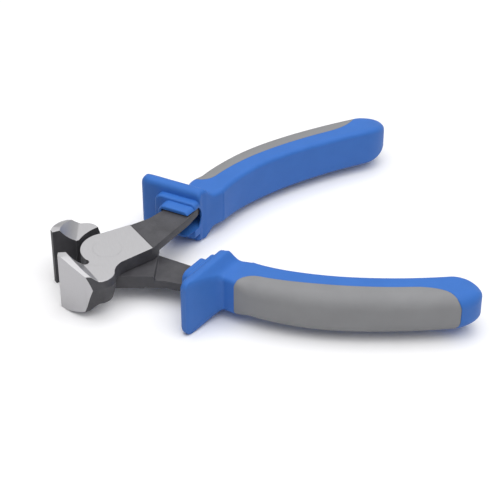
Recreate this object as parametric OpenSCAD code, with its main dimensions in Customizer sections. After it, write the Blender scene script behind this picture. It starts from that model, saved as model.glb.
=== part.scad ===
// End cutting nippers: two forged levers that cross in a lap joint on one flush rivet, with handles of two
// materials. Each half is drawn with the tool closed: pivot on the z axis, jaws at -x, handles at +x, and
// z = 0 at the parting plane of the joint. The upper half has its jaw at -y and its handle at +y. The lower
// half is the same half turned over about the x axis. Both are then swung to the opening at which the tool
// lies and raised, so that the origin is on the pivot axis at the underside of the joint.

/* [Tool] */
// Angle that each half is swung from closed, as the tool lies
half_opening = 18.3; // [8:0.1:24]
// Height of the cutting edges and the finger guards, on which the tool lies
edge_h = 24; // [20:0.1:26]

/* [Joint] */
// Radius of the round joint faces
joint_r = 10.2; // [9.6:0.1:10.6]
// Thickness of the joint, both halves together
joint_t = 11.3; // [10.4:0.1:12.4]
// Gap between the two halves at the parting plane
parting_gap = 0.1; // [0.05:0.01:0.3]
// Distance from the pivot to the end of the ground plate
plate_end = 14.7; // [13:0.1:16.5]
// Depth by which the black forging lies below the ground plate
plate_step = 0.15; // [0.05:0.01:0.4]
// Diameter of the rivet
rivet_d = 8; // [6:0.1:9]
// Diameter of the countersunk rivet heads
rivet_head_d = 11; // [10:0.1:13]
// Depth of the countersunk rivet heads
rivet_head_t = 1.6; // [1:0.1:2.5]
// Radial clearance on which the upper half turns
running_gap = 0.04; // [0.02:0.01:0.08]
// Radial clearance of the rivet in the lower half, where it is set
set_gap = 0.01; // [0.01:0.005:0.03]

/* [Jaws] */
// Distance from the pivot to the cutting edges
edge_x = 20.4; // [19.4:0.1:23]
// Gap left between the cutting edges when closed
edge_gap = 0.12; // [0.06:0.01:0.3]
// Width across both jaws when closed, at their ridges
head_w = 36.2; // [34.5:0.1:39]
// Distance that the ground front stands ahead of the cutting edge
lip_x = 1; // [0.4:0.1:2]
// Width of the outer bevel beside the cutting edge
lip_w = 1.5; // [0.8:0.1:2.5]
// Distance from the pivot to the outer end of the ground front, along the tool
front_end_x = 15.4; // [14.8:0.1:16.4]
// Distance from the tool axis to the outer end of the ground front
front_end_y = 16.9; // [15.6:0.1:17.4]
// Crown of the ground front
front_crown = 0.8; // [0.3:0.1:1.4]
// Radius of the heel behind each jaw, at its ridge
heel_r = 7.5; // [6.8:0.1:8.2]
// Distance from the pivot to the centre of the heel
heel_x = 9.9; // [9:0.1:10.6]
// Height of the forging ridge round the wall and heel, above the parting plane
ridge_z = 2.9; // [1.5:0.1:4]
// Draft of the wall and heel above the ridge
draft_top = 22; // [14:0.5:26]
// Draft of the wall and heel below the ridge
draft_low = 14.7; // [8:0.1:18]
// Radius of the hollow between heel and shank
hollow_r = 8; // [6.5:0.1:9]
// Length of the inner bevel along the tool axis
bevel_x = 2.5; // [1.5:0.1:3.5]
// Angle of the inner bevel to the tool axis
bevel_angle = 28; // [20:1:34]
// Half of the throat's width when closed
throat_y = 3.9; // [3.4:0.1:4.4]
// Radius of the relief at the root of the throat
relief_r = 1.5; // [1.2:0.1:1.8]
// Distance from the pivot to the centre of the relief
relief_x = 11.1; // [10.8:0.1:11.6]
// Depth of the relief below the throat's wall
relief_dip = 0.6; // [0.3:0.1:1]
// Distance from the pivot to the foot of the flare
flare_x = 12.3; // [11.6:0.1:13.4]
// Distance from the pivot to the head of the flare, ahead of which the jaw has its full height
flare_top_x = 17.9; // [16.8:0.1:19]
// Radius of the hollow flare
flare_r = 16.7; // [12:0.1:30]
// Radius of the brow, over which the jaw falls away to its outer side
brow_r = 39; // [30:0.5:60]
// Distance from the tool axis to the start of the brow
brow_y = 3.5; // [2:0.1:6]
// Gap between the shoulder of a jaw and the other half's joint face
shoulder_gap = 1.8; // [1:0.1:2.4]
// Distance from the pivot to the centre of the shoulder's hollow
shoulder_x = 5; // [3:0.1:6]

/* [Shanks] */
// Depth by which the plate's side lies inside the round joint face
plate_inset = 0.2; // [0.1:0.1:0.8]
// Half width at the end of the plate
plate_end_y = 8.9; // [8.2:0.1:9.4]
// Thickness of the shank and tang
shank_t = 3.8; // [3:0.1:4.6]
// Distance from the pivot to the step where the shank thins
shank_x = 18.5; // [17.5:0.1:21]
// Length behind the step over which the shank keeps the plate's width
shank_run = 4; // [2:0.1:6]
// Reach of the shank to the outer side where it enters the handle
shank_out = 7.8; // [7:0.1:8.4]
// Reach of the shank to the inner side where it enters the handle
shank_in = 4.1; // [3.8:0.1:4.4]
// Half width of the tang inside the handle
tang_w = 3.6; // [3:0.1:3.7]
// Half width of the tang at its end
tang_end_w = 3; // [2.4:0.1:3.6]
// Length of the tang from the front of the nose
tang_len = 76; // [50:1:84]

/* [Handles] */
// Distance from the pivot to the handle end, along the tool
handle_end_x = 139.3; // [130:0.1:160]
// Distance from the tool axis to the handle end
handle_end_y = 15.5; // [13:0.1:20]
// Direction of the handle at its end
end_angle = -13.2; // [-18:0.1:-6]
// Pull of the curve at the handle end
end_pull = 42; // [36:0.5:50]
// Pull of the curve behind the neck
neck_pull = 14.5; // [11:0.5:20]
// Distance from the pivot to the front of the nose, along the tool
nose_x = 34.1; // [32:0.1:37]
// Distance from the tool axis to the centre of the nose
nose_y = 4.2; // [3.8:0.1:5]
// Direction of the nose and neck
nose_angle = 31; // [26:0.5:36]
// Gap from the nose to the tool axis when closed
nose_gap = 1.2; // [0.6:0.1:1.8]
// Length of the nose
nose_len = 4.5; // [3.5:0.1:6]
// Length of the step between nose and guard
collar_len = 3.2; // [2:0.1:5]
// Thickness of the wall round the nose
nose_wall = 1.4; // [1:0.1:2]
// Height of the ledge between nose and collar, above the shank
collar_rise = 1; // [0.6:0.1:1.6]
// Height of that ledge below the shank
collar_drop = 3.3; // [2:0.1:4]
// Width of that ledge on the outer side
collar_ledge = 4; // [2:0.1:5]
// Thickness of the guard's rim
guard_t = 3.7; // [2.8:0.1:5]
// Radius of the rim's front edge
rim_r = 2.4; // [1.4:0.1:2.7]
// Length over which the guard runs back into the neck
guard_run = 6; // [5:0.1:7]
// Length of the straight neck behind the guard's rim
neck_run = 8; // [7.2:0.1:9]
// Reach of the guard on the outer side
guard_out = 22; // [19:0.1:25]
// Reach of the guard on the inner side
guard_in = 4.6; // [4.2:0.1:4.9]
// Edge radius of the guard on the outer side
guard_r = 3; // [2:0.1:4]
// Least wall of the sleeve between tang and inlay
neck_wall = 1.1; // [0.6:0.1:1.6]
// Reach of the neck on the outer side
neck_w = 6; // [5.6:0.1:7]
// Reach of the neck on the inner side
neck_in = 9.1; // [8:0.1:9.6]
// Edge radius of the neck on the outer side
neck_r = 1.9; // [1.5:0.1:3]
// Half width of the grip
grip_w = 7.4; // [6.9:0.1:9]
// Half height of the grip
grip_h = 8.8; // [8.2:0.1:10]
// Half height at the handle end
butt_h = 8.2; // [7:0.1:8.6]
// Length of the rounded handle end
butt_len = 8; // [6:0.1:10]
// Edge radius on the inner side
inner_r = 2.1; // [1.5:0.1:3.5]
// Edge radius on the outer side
outer_r = 5.4; // [4:0.1:6]

/* [Sockets] */
// Clearance of the tang in its socket
socket_gap = 0.1; // [0.05:0.01:0.25]
// Clearance of the shank in the open mouth of the handle
mouth_gap = 0.5; // [0.3:0.05:0.8]
// Depth of the mouth below the parting plane
mouth_low = 3.5; // [2.4:0.1:4.2]
// Depth of the mouth's round end on the inner side
mouth_bulge = 2.2; // [1:0.1:3]
// Depth behind the guard's face to which the mouth is open on the inner side
mouth_open = 1.5; // [0.8:0.1:2]
// Depth of the mouth behind the guard's face
mouth_len = 5; // [4:0.1:5.5]

/* [Inlays] */
// Thickness of the soft inlay
inlay_t = 1.1; // [0.8:0.1:1.4]
// Clearance between inlay and sleeve
inlay_gap = 0.05; // [0.03:0.01:0.15]
// Distance from the handle's centreline to the inlay's edge, on the inner side
inlay_in = 0.8; // [0:0.1:2.5]
// Distance from the front of the nose to the front of the inlay
inlay_start = 22.9; // [21:0.1:28]
// Distance from the inlay to the handle end
inlay_end = 7.8; // [7:0.1:16]
// Length of the rounded ends of the inlay
inlay_round = 10.6; // [7:0.1:14]
// Width of the inlay that is left at its rounded ends
inlay_tip = 0.7; // [0.4:0.1:1.5]
// Length by which the inlay's ends bulge along the handle at half its height
inlay_bow = 1.6; // [0.5:0.1:2]

/* [Hidden] */
$fn = 96;

// Colours of the forging, the ground rivet, the hard sleeve and the soft inlay
forged = "#6b6a70";
ground = "#c4c4c7";
hard_blue = "#4f82d6";
soft_grey = "#8f9093";

// Heights measured from the parting plane
half_t = joint_t / 2;
shank_top = half_t - plate_step;
shank_low = shank_top - shank_t;
half_edge = edge_h / 2;
// Reach of cuts that go past every outline
far = 200;

// Plan of the head when closed
tip = [-edge_x, -edge_gap / 2];
lip = tip - [lip_x, lip_w];
front_end = [-front_end_x, -front_end_y];
front_steps = 10;
plate_y = joint_r - plate_inset;
heel = [-heel_x, heel_r - head_w / 2];
heel_top_r = heel_r - (half_t - ridge_z) * tan(draft_top);
hollow_y = -plate_y - hollow_r;
hollow = [heel.x + sqrt((heel_top_r + hollow_r) ^ 2 - (heel.y - hollow_y) ^ 2), hollow_y];
bevel_end = tip + bevel_x * [1, -tan(bevel_angle)];
relief = [-relief_x, relief_r - relief_dip - throat_y];
throat_root = [relief.x - relief_r, -throat_y];
shoulder_r = joint_r + shoulder_gap + shoulder_x;

// Centreline of the handle: a straight nose and neck, then one cubic curve to the end
guard_u = nose_len + collar_len;
rim_u = guard_u + guard_t;
neck_u = rim_u + neck_run;
nose = [nose_x, nose_y];
nose_dir = [cos(nose_angle), sin(nose_angle)];
neck_end = nose + neck_u * nose_dir;
handle_end = [handle_end_x, handle_end_y];
curve_len = handle_end.x - neck_end.x;
curve_start = neck_end + neck_pull * nose_dir;
curve_end = handle_end - end_pull * [cos(end_angle), sin(end_angle)];
full_u = neck_u + curve_len;

// Reaches of the handle's sections from its centreline
mouth_h = shank_top + mouth_gap;
mouth_out = shank_out + mouth_gap;
mouth_in = tang_w + mouth_gap;
nose_h = mouth_h + nose_wall;
nose_low = mouth_low + nose_wall;
nose_out = mouth_out + nose_wall;
nose_in = (nose_y - nose_gap) / cos(nose_angle);
collar_h = nose_h + collar_rise;
collar_low = nose_low + collar_drop;
collar_out = nose_out + collar_ledge;
neck_h = shank_top + socket_gap + neck_wall + inlay_t;
// Length over which the neck swells into the grip, and over which the grip thins to its end
swell_len = 50;
thin_len = 53;
// Length over which the inner side draws out from the guard to the neck
draw_len = 14.5;
// Length over which the outer edge rounds off behind the neck
round_len = 14;
// Powers of the guard's back: how round its rear edge is, and how steeply it then falls to the neck
rim_power = 1.5;
fall_power = 3.4;
// Flat left at the very end of the handle, as a share of its width
butt_flat = 0.14;
// Share of the height that the rounded end keeps
butt_keep = 0.45;
// Broken edges of the nose and collar, and the smallest step between two sections
edge_cut = 0.5;
tiny = 0.05;

// Point on the handle's centreline at u mm from the front of the nose
function centre(u) =
    let (t = (u - neck_u) / curve_len, s = 1 - t)
    u < neck_u
        ? nose + u * nose_dir
        : s ^ 3 * neck_end + 3 * s ^ 2 * t * curve_start + 3 * s * t ^ 2 * curve_end + t ^ 3 * handle_end;

// Unit vector across the handle at u, pointing to its outer side
function across(u) =
    let (d = centre(u + tiny) - centre(u - tiny))
    [-d.y, d.x] / norm(d);

// Points of a shallow crowned line from a to b
function crowned(a, b, crown, steps) =
    let (chord = b - a, side = [chord.y, -chord.x] / norm(chord))
    [for (i = [0 : steps]) let (k = i / steps) a + k * chord + 4 * k * (1 - k) * crown * side];

// Point where a line from p touches a circle of radius r round c, on its left
function touch(p, c, r) =
    let (e = (p - c) / norm(p - c), a = acos(r / norm(p - c)))
    c + r * [e.x * cos(a) - e.y * sin(a), e.x * sin(a) + e.y * cos(a)];

function clamped(k) = min(1, max(0, k));

// Value that eases from a to b as k goes from 0 to 1
function ease(a, b, k) =
    let (c = clamped(k))
    a + (b - a) * c * c * (3 - 2 * c);

// Value that falls from a to b over a round edge and a hollow sweep as k goes from 0 to 1
function hollow_run(a, b, k) = b + (a - b) * (1 - clamped(k) ^ rim_power) ^ fall_power;

// Share of the width that is left in the rounded end of the handle
function butt(u) = sqrt(1 - (1 - butt_flat ^ 2) * clamped(1 - (full_u - u) / butt_len) ^ 2);

// Half height, inner reach and outer reach of the handle behind the guard's face
function grip_half(u) =
    ease(neck_h, grip_h, (u - rim_u) / swell_len) - ease(0, grip_h - butt_h, 1 - (full_u - u) / thin_len);
function back_h(u) =
    hollow_run(half_edge, grip_half(u), (u - rim_u) / guard_run) * (butt_keep + (1 - butt_keep) * butt(u));
function back_in(u) =
    ease(guard_in, ease(neck_in, grip_w, (u - neck_u) / swell_len), (u - guard_u) / draw_len) * butt(u);
function back_out(u) =
    hollow_run(guard_out, ease(neck_w, grip_w, (u - neck_u) / swell_len), (u - rim_u) / guard_run) * butt(u);

// Edge radius on the outer side at u
function edge_r(u) =
    u < neck_u
        ? ease(guard_r, neck_r, (u - rim_u) / guard_run)
        : ease(neck_r, outer_r, (u - neck_u) / round_len);

// A section is [place, height above parting plane, inner reach, outer reach, depth below parting plane]
function nose_row(u, h, low, out, cut) =
    [u, h - cut, ease(nose_in, guard_in, u / guard_u), out - cut, low - cut];
function back_row(u) = [u, back_h(u), back_in(u), back_out(u), back_h(u)];
function inset(row, d) = [row[0], row[1] - d, row[2], row[3] - d, row[4] - d];

// Height, at the distance y from the centreline, of a face that is h high with the outer edge radius r
corner_share = 0.8;
function face(row, y, h, r) =
    let (a = min(inner_r, corner_share * min(h, row[2])), b = min(r, corner_share * min(h, row[3])))
    let (past = max(0, a - row[2] - y, y - row[3] + b), c = y < 0 ? a : b)
    h - c + sqrt(max(0, c ^ 2 - past ^ 2));
function top(row, y, r) = face(row, y, row[1], r);
function bottom(row, y, r) = -face(row, y, row[4], r);

// Length by which the sections are bowed at u, forward at the inlay's front and back at its rear
inlay_stop = full_u - inlay_end;
bow_len = min(inlay_round, inlay_end);
function bow(u) =
    let (front = 1 - abs(u - inlay_start) / bow_len, rear = 1 - abs(u - inlay_stop) / bow_len)
    inlay_bow * (clamped(rear) ^ 2 - clamped(front) ^ 2);

// Point of a section in the closed pose
function place(row, y, z) =
    let (level = z / (z > 0 ? row[1] : row[4]), u = row[0] + bow(row[0]) * (1 - level ^ 2))
    let (p = centre(u) + y * across(u))
    [p.x, p.y, z];

// Points round the inner side of a section, from the edge above to the edge below
inner_half = 8;
function inner_side(row, edge) =
    let (mid = (edge - row[2]) / 2, half = (edge + row[2]) / 2, r = edge_r(row[0]))
    let (ys = [for (j = [0 : inner_half]) mid + half * cos(180 * j / inner_half)])
    concat(
        [for (y = ys) place(row, y, top(row, y, r))],
        [for (j = [inner_half : -1 : 0]) place(row, ys[j], bottom(row, ys[j], r))]
    );

// Points round the outer side of a section, sunk by depth, from the edge below to the edge above
outer_half = 6;
function outer_side(row, edge, depth, first) =
    let (sunk = inset(row, depth), r = edge_r(row[0]) - depth, last = outer_half + first)
    let (ys = [for (j = [first : last]) edge + (sunk[3] - edge) * sin(90 * j / last)])
    concat(
        [for (y = ys) place(sunk, y, bottom(sunk, y, r))],
        [for (j = [outer_half : -1 : 0]) place(sunk, ys[j], top(sunk, ys[j], r))]
    );

// Closed ring of points round a section, plain or with the bed of the inlay
function plain_ring(row) =
    let (edge = row[3] - inlay_tip)
    concat(inner_side(row, edge), outer_side(row, edge, 0, 1));
function bed_ring(row, edge) = concat(inner_side(row, edge), outer_side(row, edge, inlay_t, 0));

// Edge of the inlay at u, measured across the handle
function inlay_edge(u) =
    let (k = clamped(min(u - inlay_start, inlay_stop - u) / inlay_round), reach = back_out(u) - inlay_tip)
    reach - (reach + inlay_in) * sqrt(1 - (1 - k) ^ 2);

// Places of the sections along the inlay, closer together at its rounded ends
inlay_rows = 12;
inlay_span = inlay_stop - inlay_start;
inlay_bend = min(inlay_round, inlay_span / 3);
inlay_turns = [0, 6, 12, 20, 36, 54, 72];
inlay_places = concat(
    [for (a = inlay_turns) inlay_start + inlay_bend * (1 - cos(a))],
    [for (i = [0 : inlay_rows]) inlay_start + inlay_bend + (inlay_span - 2 * inlay_bend) * i / inlay_rows],
    [for (i = [len(inlay_turns) - 1 : -1 : 0]) inlay_stop - inlay_bend * (1 - cos(inlay_turns[i]))]
);

// Rings of the whole sleeve, from the nose to the handle end
nose_rows = [
    nose_row(0, nose_h, nose_low, nose_out, edge_cut),
    nose_row(edge_cut, nose_h, nose_low, nose_out, 0),
    nose_row(nose_len, nose_h, nose_low, nose_out, 0),
    nose_row(nose_len + tiny, collar_h, collar_low, collar_out, edge_cut),
    nose_row(nose_len + tiny + edge_cut, collar_h, collar_low, collar_out, 0),
    nose_row(guard_u, collar_h, collar_low, collar_out, 0)
];
rim_rows = [for (a = [0 : 30 : 90])
    nose_row(guard_u + tiny + rim_r * (1 - cos(a)), half_edge, half_edge, guard_out, rim_r * (1 - sin(a)))];
run_shares = [0, 0.1, 0.2, 0.32, 0.45, 0.6, 0.8, 1];
run_places = concat([for (k = run_shares) rim_u + k * guard_run], [neck_u]);
butt_places = [for (a = [0 : 15 : 90]) full_u - butt_len * (1 - sin(a))];
sleeve_rings = concat(
    [for (row = concat(nose_rows, rim_rows)) plain_ring(row)],
    [for (u = run_places) if (u < inlay_start - inlay_bow - 2 * tiny) plain_ring(back_row(u))],
    [plain_ring(back_row(inlay_start - tiny))],
    [for (u = inlay_places) bed_ring(back_row(u), inlay_edge(u))],
    [plain_ring(back_row(inlay_stop + tiny))],
    [for (u = butt_places) if (u > inlay_stop + inlay_bow + 2 * tiny) plain_ring(back_row(u))]
);

// Triangles of a strip between two lists of point numbers
function strip(a, b) =
    [for (j = [0 : len(a) - 2]) each [[a[j], b[j], b[j + 1]], [a[j], b[j + 1], a[j + 1]]]];

// Solid through closed rings of points
module loft(rings) {
    n = len(rings[0]);
    last = (len(rings) - 1) * n;
    polyhedron(
        [for (r = rings) each r],
        concat(
            [for (i = [0 : len(rings) - 2]) each strip(
                [for (j = [0 : n]) i * n + j % n],
                [for (j = [0 : n]) (i + 1) * n + j % n]
            )],
            [[for (j = [0 : n - 1]) j]],
            [[for (j = [n - 1 : -1 : 0]) last + j]]
        )
    );
}

// Solid between two sheets of points that match row by row
module thick_sheet(outer, inner) {
    n = len(outer[0]);
    rows = len(outer);
    total = n * rows;
    function low(i) = [for (j = [0 : n - 1]) i * n + j];
    function high(i) = [for (j = [0 : n - 1]) total + i * n + j];
    function edge(j, base) = [for (i = [0 : rows - 1]) base + i * n + j];
    polyhedron(
        [for (r = concat(outer, inner)) each r],
        concat(
            [for (i = [0 : rows - 2]) each strip(low(i + 1), low(i))],
            [for (i = [0 : rows - 2]) each strip(high(i), high(i + 1))],
            strip(low(0), high(0)),
            strip(high(rows - 1), low(rows - 1)),
            strip(edge(0, total), edge(0, 0)),
            strip(edge(n - 1, 0), edge(n - 1, total))
        )
    );
}

// Plan of the shank and tang, grown by gap on both sides
tang_rows = 12;
module shank_plan(gap) {
    us = [for (i = [0 : tang_rows]) rim_u + (tang_len - rim_u) * i / tang_rows];
    function half(u) = gap + ease(tang_w, tang_end_w, (u - rim_u) / (tang_len - rim_u));
    polygon(concat(
        [[0, plate_y], [plate_end, plate_end_y + gap], [shank_x + shank_run, plate_end_y + gap]],
        [nose + (shank_out + gap) * across(0)],
        [for (u = us) centre(u) + half(u) * across(u)],
        [for (i = [tang_rows : -1 : 0]) centre(us[i]) - half(us[i]) * across(us[i])],
        [centre(guard_u) - (tang_w + gap) * across(guard_u)],
        [for (u = [guard_u, 0]) centre(u) - (shank_in + gap) * across(u)],
        [[plate_end, -plate_end_y - gap], [hollow.x, -plate_y], [0, 0]]
    ));
}

// Plan of the jaw at its ridge, with the throat and without the heel
module jaw_plan() {
    polygon(concat(
        [tip],
        crowned(lip, front_end, front_crown, front_steps),
        [touch(front_end, heel, heel_r - tiny), heel, [0, -plate_y], [0, 0]],
        [[-relief_x, -throat_y], throat_root, bevel_end]
    ));
}

// Half space inside the wall from the front to the heel, drafted away from its ridge
module wall() {
    run = touch(front_end, heel, heel_r - tiny) - front_end;
    translate(concat(front_end, 0))
        rotate([0, 0, atan2(run.y, run.x)])
            rotate([90, 0, 90])
                linear_extrude(far, center = true)
                    polygon([
                        [0, ridge_z], [(half_edge - ridge_z) * tan(draft_top), half_edge], [far, half_edge],
                        [far, -half_edge], [(half_edge + ridge_z) * tan(draft_low), -half_edge]
                    ]);
}

// Round heel, drafted like the wall
module heel_body() {
    translate(heel)
        rotate_extrude()
            polygon([
                [0, half_edge], [0, -half_edge], [heel_r - (half_edge + ridge_z) * tan(draft_low), -half_edge],
                [heel_r, ridge_z], [heel_r - (half_edge - ridge_z) * tan(draft_top), half_edge]
            ]);
}

// Centre of a circle of radius r through a and b, on the right of the way from a to b
function arc_centre(a, b, r) =
    let (d = b - a)
    (a + b) / 2 + sqrt(r ^ 2 - d * d / 4) * [d.y, -d.x] / norm(d);

// Side view of the jaws: as thick as the joint behind the foot, sweeping up to full height ahead of it
module flare() {
    sweep = arc_centre([-flare_x, half_t], [-flare_top_x, half_edge], flare_r);
    rotate([90, 0, 0]) linear_extrude(far, center = true) {
        square([far, joint_t], center = true);
        difference() {
            translate([-far, -half_edge]) square([far - flare_x / 2, edge_h]);
            for (side = [-1, 1]) translate([sweep.x, side * sweep.y]) circle(flare_r);
        }
    }
}

// Front view of the jaw: full height at the cutting edge, falling in a brow to the joint's at the outer side
module brow() {
    crest = arc_centre([-head_w / 2, half_t], [-brow_y, half_edge], brow_r);
    rotate([90, 0, 90]) linear_extrude(far, center = true) intersection_for (side = [-1, 1])
        translate([crest.x, side * crest.y]) circle(brow_r);
}

// Jaw, hollowed below the parting plane for the other half's joint face
module jaw() {
    difference() {
        intersection() {
            union() {
                intersection() {
                    linear_extrude(edge_h, center = true) jaw_plan();
                    wall();
                }
                heel_body();
            }
            flare();
            brow();
        }
        translate(hollow) cylinder(r = hollow_r + tiny, h = far, center = true);
        translate([shoulder_x, 0, -far]) cylinder(r = shoulder_r, h = far + parting_gap / 2);
    }
}

// Rivet with a countersunk head at each face, grown by gap
module rivet_body(gap) {
    r = rivet_d / 2 + gap;
    head_r = rivet_head_d / 2 + gap;
    neck = half_t - rivet_head_t;
    rotate_extrude()
        polygon([[0, -half_t], [head_r, -half_t], [r, -neck], [r, neck], [head_r, half_t], [0, half_t]]);
}

// One half of the tool without its handle, with the rivet's hole
module lever(gap) {
    low = parting_gap / 2;
    difference() {
        union() {
            jaw();
            translate([0, 0, low]) linear_extrude(half_t - low) {
                circle(joint_r);
                difference() {
                    polygon([heel, hollow, [hollow.x, -plate_y], [0, 0]]);
                    translate(hollow) circle(hollow_r + tiny);
                }
                intersection() {
                    shank_plan(0);
                    translate([0, -far]) square([plate_end, 2 * far]);
                }
            }
            translate([0, 0, low]) linear_extrude(shank_top - low) intersection() {
                shank_plan(0);
                translate([0, -far]) square([shank_x, 2 * far]);
            }
            translate([0, 0, shank_low]) linear_extrude(shank_t) shank_plan(0);
        }
        translate(relief) cylinder(r = relief_r, h = far, center = true);
        rivet_body(gap);
    }
}

// Side view of the mouth, with a round end at the depth end
module mouth_side(end) {
    mid = (mouth_h - mouth_low) / 2;
    half = (mouth_h + mouth_low) / 2;
    r = (half ^ 2 + mouth_bulge ^ 2) / (2 * mouth_bulge);
    intersection() {
        translate([-far, -mouth_low]) square([2 * far, 2 * half]);
        union() {
            translate([end - r - far, -far]) square([far, 2 * far]);
            translate([end - r, mid]) circle(r);
        }
    }
}

// Space in the handle for the shank: an open mouth at the nose, then a close socket for the tang
module socket() {
    translate([0, 0, shank_low - socket_gap]) linear_extrude(shank_t + 2 * socket_gap) shank_plan(socket_gap);
    translate(nose) rotate([0, 0, nose_angle]) {
        translate([0, mouth_out, 0]) rotate([90, 0, 0]) linear_extrude(far) mouth_side(guard_u + mouth_open);
        translate([0, -mouth_in, -mouth_low])
            cube([guard_u + mouth_len, mouth_in + mouth_out, mouth_h + mouth_low]);
    }
}

module sleeve() {
    difference() {
        loft(sleeve_rings);
        socket();
    }
}

// Inlay in its bed, drawn in by the gap on all sides
module inlay() {
    function drawn_in(u) = u + inlay_gap * (1 - 2 * (u - inlay_start) / inlay_span);
    function skin(u, depth) = outer_side(back_row(drawn_in(u)), inlay_edge(u) + inlay_gap, depth, 0);
    thick_sheet(
        [for (u = inlay_places) skin(u, 0)],
        [for (u = inlay_places) skin(u, inlay_t - inlay_gap)]
    );
}

// Swing of each half from closed to the opening at which the tool lies
module upper() {
    translate([0, 0, half_t]) rotate([0, 0, half_opening]) children();
}
module lower() {
    translate([0, 0, half_t]) rotate([180, 0, -half_opening]) children();
}

module upper_lever() { color(forged) upper() lever(running_gap); }
module lower_lever() { color(forged) lower() lever(set_gap); }
module pivot_rivet() { color(ground) translate([0, 0, half_t]) rivet_body(0); }
module upper_sleeve() { color(hard_blue) upper() sleeve(); }
module lower_sleeve() { color(hard_blue) lower() sleeve(); }
module upper_inlay() { color(soft_grey) upper() inlay(); }
module lower_inlay() { color(soft_grey) lower() inlay(); }

upper_lever();
lower_lever();
pivot_rivet();
upper_sleeve();
lower_sleeve();
upper_inlay();
lower_inlay();
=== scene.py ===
"""End cutting nippers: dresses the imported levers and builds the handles, the stage and the camera."""

import logging
import math
from dataclasses import dataclass
from enum import Enum

import bmesh
import bpy
import numpy as np
from mathutils import Matrix, Vector


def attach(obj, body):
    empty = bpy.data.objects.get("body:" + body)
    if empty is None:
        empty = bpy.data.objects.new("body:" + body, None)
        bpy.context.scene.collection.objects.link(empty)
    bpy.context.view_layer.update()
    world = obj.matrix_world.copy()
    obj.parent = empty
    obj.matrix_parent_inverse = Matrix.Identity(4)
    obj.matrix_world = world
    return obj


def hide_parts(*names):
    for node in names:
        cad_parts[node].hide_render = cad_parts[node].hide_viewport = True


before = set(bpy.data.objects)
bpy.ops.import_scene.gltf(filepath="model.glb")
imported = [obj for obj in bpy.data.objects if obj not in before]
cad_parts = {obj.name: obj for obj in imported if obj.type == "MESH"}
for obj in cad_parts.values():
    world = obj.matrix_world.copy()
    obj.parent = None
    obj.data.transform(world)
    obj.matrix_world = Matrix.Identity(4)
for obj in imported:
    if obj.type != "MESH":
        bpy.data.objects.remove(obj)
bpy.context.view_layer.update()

Colour = tuple[float, float, float]
Point = tuple[float, float, float]
Span = tuple[float, float]
Ring = list[Point]
Outline = list[tuple[float, float]]

LOG = logging.getLogger("nippers")
MM = 0.001
WHITE = (1.0, 1.0, 1.0, 1.0)
# Part of a noise's range that is spread over a whole effect
NOISE_SPAN: Span = (0.3, 0.7)
# Least angle in degrees between two faces of a moulding that stays a crisp edge
CRISP_ANGLE = 38.0
# Distance in mm that keeps two rings of a loft apart
TINY = 0.05


class Half(Enum):
    """The two halves of the tool, with their body's name and the place of the half in the tool."""

    UPPER = "upper"
    LOWER = "lower"

    @property
    def body(self) -> str:
        """Name of the CAD body that the half rides on."""
        return f"{self.value}_half"

    @property
    def swing(self) -> float:
        """Angle in degrees by which the half is swung from closed."""
        return Tool.half_opening if self is Half.UPPER else -Tool.half_opening

    @property
    def to_tool(self) -> Matrix:
        """Finds the place of the half in the tool.

        Returns:
            Matrix that takes points in metres from the closed drawing to the tool's frame.
        """
        turned = Matrix.Rotation(math.radians(self.swing), 4, "Z")
        if self is Half.LOWER:
            turned = turned @ Matrix.Rotation(math.pi, 4, "X")
        return Matrix.Translation((0, 0, Tool.half_joint * MM)) @ turned


class Tool:
    """Opening of a half in degrees and sizes in mm that several sub-assemblies share."""

    half_opening = 18.3
    half_joint = 5.65
    half_edge = 12.0
    plate_end = 14.7


def clamped(k: float) -> float:
    """Limits k to the span from 0 to 1."""
    return min(1.0, max(0.0, k))


def ease(a: float, b: float, k: float) -> float:
    """Eases from a to b as k goes from 0 to 1.

    Args:
        a: Value at k = 0.
        b: Value at k = 1.
        k: Place between the two, limited to 0 to 1.

    Returns:
        The eased value.
    """
    c = clamped(k)
    return a + (b - a) * c * c * (3 - 2 * c)


def quarter_turn(steps: int) -> list[float]:
    """Angles in radians from 0 to a quarter turn, in equal steps."""
    return [math.pi / 2 * i / steps for i in range(steps + 1)]


def new_mesh_object(name: str, points: list[Point], faces: list[list[int]]) -> bpy.types.Object:
    """Makes a mesh object with outward normals.

    Args:
        name: Name of the object.
        points: Vertices in metres, in the tool's frame.
        faces: Lists of vertex numbers.

    Returns:
        The new object, linked to the scene.
    """
    mesh = bpy.data.meshes.new(name)
    mesh.from_pydata(points, [], faces)
    work = bmesh.new()
    work.from_mesh(mesh)
    bmesh.ops.recalc_face_normals(work, faces=work.faces)
    work.to_mesh(mesh)
    work.free()
    made = bpy.data.objects.new(name, mesh)
    bpy.context.scene.collection.objects.link(made)
    return made


def shade_moulding(obj: bpy.types.Object) -> None:
    """Shades a moulding smooth and keeps its sharp edges crisp."""
    obj.data.shade_smooth()
    obj.data.set_sharp_from_angle(angle=math.radians(CRISP_ANGLE))


def apply_modifiers(obj: bpy.types.Object) -> None:
    """Replaces an object's mesh with its evaluated one and drops its modifiers.

    Args:
        obj: Mesh object.
    """
    graph = bpy.context.evaluated_depsgraph_get()
    done = bpy.data.meshes.new_from_object(obj.evaluated_get(graph))
    old = obj.data
    obj.modifiers.clear()
    obj.data = done
    done.name = obj.name
    bpy.data.meshes.remove(old)


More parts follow.
